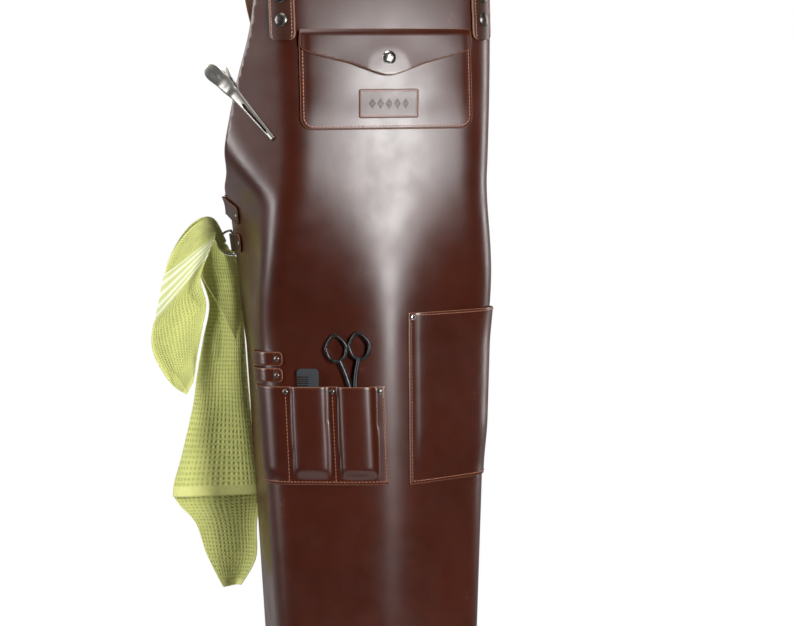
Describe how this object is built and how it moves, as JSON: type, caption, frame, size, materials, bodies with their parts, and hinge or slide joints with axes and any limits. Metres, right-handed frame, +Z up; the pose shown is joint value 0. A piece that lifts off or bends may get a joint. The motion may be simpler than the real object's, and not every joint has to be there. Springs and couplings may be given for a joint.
{
  "type": "leather work apron",
  "caption": "Leather bib work apron in its worn shape, with crossed shoulder straps, riveted pockets, a flap pocket, scissors, comb, clip and a towel on a ring.",
  "frame": {"origin": "midway between the tops of the two shoulder straps, where the shoulders or a stand hold the apron up", "axes": "+Z up, the front of the apron faces -Y, +X to the right as seen from the front"},
  "size_m": [0.3935, 0.2659, 1],
  "materials": {
    "apron_leather": "waxed pull-up, semi-gloss",
    "strap_leather": "waxed, satin",
    "polished_nickel": "polished nickel",
    "dark_nickel": "antique dark nickel",
    "clip_steel": "satin, slightly tarnished",
    "blackened_iron": "blackened with worn edges",
    "comb_plastic": "hard black comb plastic",
    "waffle_cotton": "waffle weave with a striped band"
  },
  "bodies": {
    "apron": {"apron_body": "apron_leather", "chest_pocket_back": "apron_leather", "chest_pocket": "apron_leather", "pocket_snap_stud": "polished_nickel", "label_patch": "apron_leather", "tool_pocket": "apron_leather", "side_pocket": "apron_leather", "side_pocket_rivet_front": "polished_nickel", "side_pocket_rivet_rear": "polished_nickel", "tool_loop_upper": "apron_leather", "tool_loop_lower": "apron_leather", "loop_rivet_upper_left": "dark_nickel", "loop_rivet_upper_right": "dark_nickel", "loop_rivet_lower_left": "dark_nickel", "loop_rivet_lower_right": "dark_nickel", "tool_pocket_rivet_1": "dark_nickel", "tool_pocket_rivet_2": "dark_nickel", "tool_pocket_rivet_3": "dark_nickel", "tool_pocket_rivet_4": "dark_nickel", "shoulder_strap_left": "strap_leather", "shoulder_strap_right": "strap_leather", "strap_snap_cap_left_lower": "dark_nickel", "strap_snap_cap_left_upper": "dark_nickel", "strap_snap_cap_right_lower": "dark_nickel", "strap_snap_cap_right_upper": "dark_nickel", "bib_snap_stud_left_lower": "dark_nickel", "bib_snap_stud_left_upper": "dark_nickel", "bib_snap_stud_right_lower": "dark_nickel", "bib_snap_stud_right_upper": "dark_nickel", "back_cross_patch": "strap_leather", "back_cross_rivet": "polished_nickel", "strap_end_rivet_left": "dark_nickel", "strap_end_rivet_right": "dark_nickel", "rear_tab_left": "strap_leather", "rear_tab_left_rivet": "dark_nickel", "rear_tab_right": "strap_leather", "rear_tab_right_rivet": "dark_nickel", "towel_ring_tab": "strap_leather", "towel_ring_tab_rivet": "dark_nickel"},
    "chest_flap": {"chest_flap": "apron_leather", "flap_snap_cap": "polished_nickel"},
    "rear_ring_left": {"rear_ring_left": "polished_nickel"},
    "rear_ring_right": {"rear_ring_right": "polished_nickel"},
    "towel_ring": {"towel_ring": "polished_nickel"},
    "towel": {"towel": "waffle_cotton"},
    "hair_clip": {"clip_lower_jaw": "clip_steel", "clip_pin": "clip_steel", "clip_spring": "clip_steel"},
    "clip_upper_jaw": {"clip_upper_jaw": "clip_steel"},
    "scissors": {"scissor_half_left": "blackened_iron", "scissor_screw": "dark_nickel"},
    "scissor_half_right": {"scissor_half_right": "blackened_iron"},
    "comb": {"comb": "comb_plastic"}
  },
  "joints": [
    {"name": "chest_flap_hinge", "type": "hinge", "parent": "apron", "child": "chest_flap", "pos_m": [0.00196, -0.12434, -0.199], "axis": [-1, 0, 0], "range_deg": [0, 150]},
    {"name": "rear_ring_left_turn", "type": "hinge", "parent": "apron", "child": "rear_ring_left", "pos_m": [-0.15359, 0.04888, -0.39938], "axis": [-0.2504, -0.3671, 0.8958], "range_deg": [-4, 4]},
    {"name": "rear_ring_right_turn", "type": "hinge", "parent": "apron", "child": "rear_ring_right", "pos_m": [0.14594, 0.05601, -0.39938], "axis": [0.0852, -0.2929, 0.9524], "range_deg": [-4, 4]},
    {"name": "towel_ring_swing", "type": "hinge", "parent": "apron", "child": "towel_ring", "pos_m": [-0.14624, 0.05415, -0.444], "axis": [-0.1481, -0.14, 0.979], "range_deg": [-18, 6]},
    {"name": "towel_swing", "type": "hinge", "parent": "towel_ring", "child": "towel", "pos_m": [-0.15529, 0.05631, -0.44506], "axis": [0.2124, 0.9772, 0], "range_deg": [0, 10]},
    {"name": "clip_pull", "type": "slide", "parent": "apron", "child": "hair_clip", "axis": [-0.4954, 0.4926, 0.7155], "range_m": [0, 0.09]},
    {"name": "clip_open", "type": "hinge", "parent": "hair_clip", "child": "clip_upper_jaw", "pos_m": [-0.16888, -0.05951, -0.262], "axis": [-0.5308, 0.4804, -0.6982], "range_deg": [0, 18], "stiffness_Nm_per_rad": 0.4, "springref_deg": -20.05},
    {"name": "scissors_lift", "type": "slide", "parent": "apron", "child": "scissors", "axis": [-0.021, -0.0554, 0.9982], "range_m": [0, 0.046]},
    {"name": "scissors_open", "type": "hinge", "parent": "scissors", "child": "scissor_half_right", "pos_m": [-0.04221, -0.11887, -0.634], "axis": [0.3547, 0.935, -0.0028], "range_deg": [0, 8]},
    {"name": "comb_lift", "type": "slide", "parent": "apron", "child": "comb", "axis": [-0.009, -0.0189, 0.9998], "range_m": [0, 0.046]}
  ]
}
